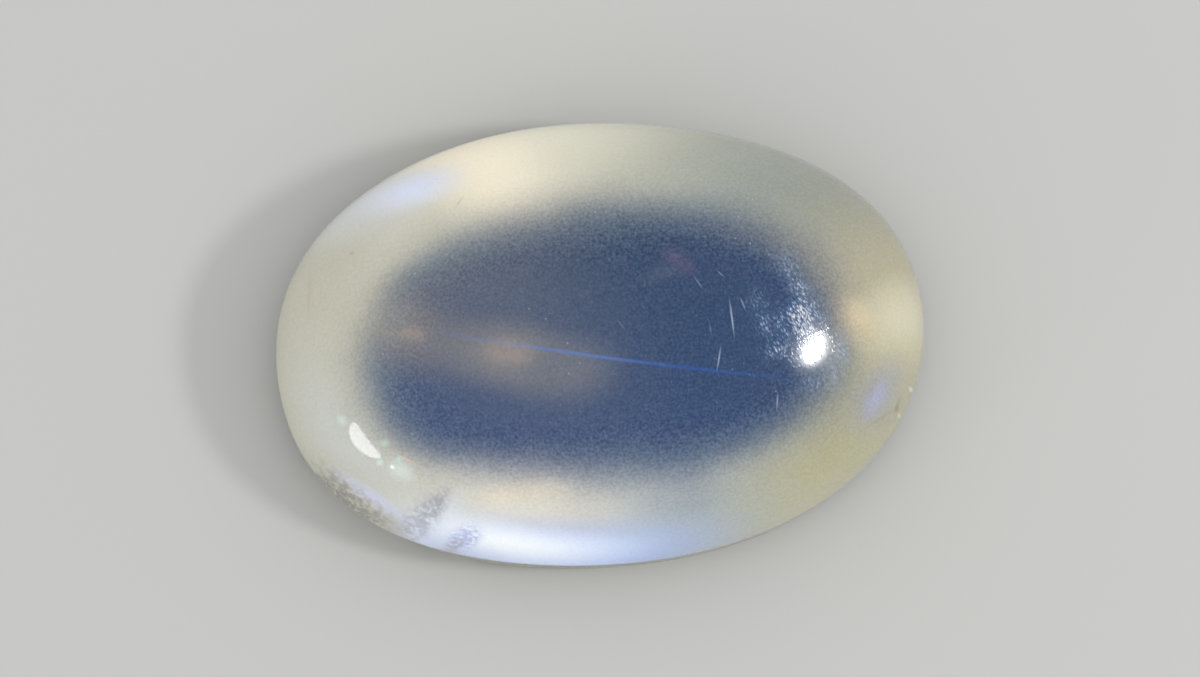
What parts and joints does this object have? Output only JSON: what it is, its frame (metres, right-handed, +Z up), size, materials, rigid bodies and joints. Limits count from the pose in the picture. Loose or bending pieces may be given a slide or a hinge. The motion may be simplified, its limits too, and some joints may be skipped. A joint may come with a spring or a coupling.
{
  "type": "moonstone cabochon",
  "caption": "Oval moonstone cabochon: a polished dome over a narrow girdle and a ground flat base, lightly chipped under one edge.",
  "frame": {"origin": "middle of the ground flat base that the stone lies on", "axes": "+X along the long axis of the oval, towards its blunter end; +Y across it; +Z up through the dome"},
  "size_m": [0.022, 0.0152, 0.0067],
  "materials": {
    "moonstone": "polished"
  },
  "bodies": {
    "root": {"moonstone": "moonstone"}
  },
  "joints": []
}
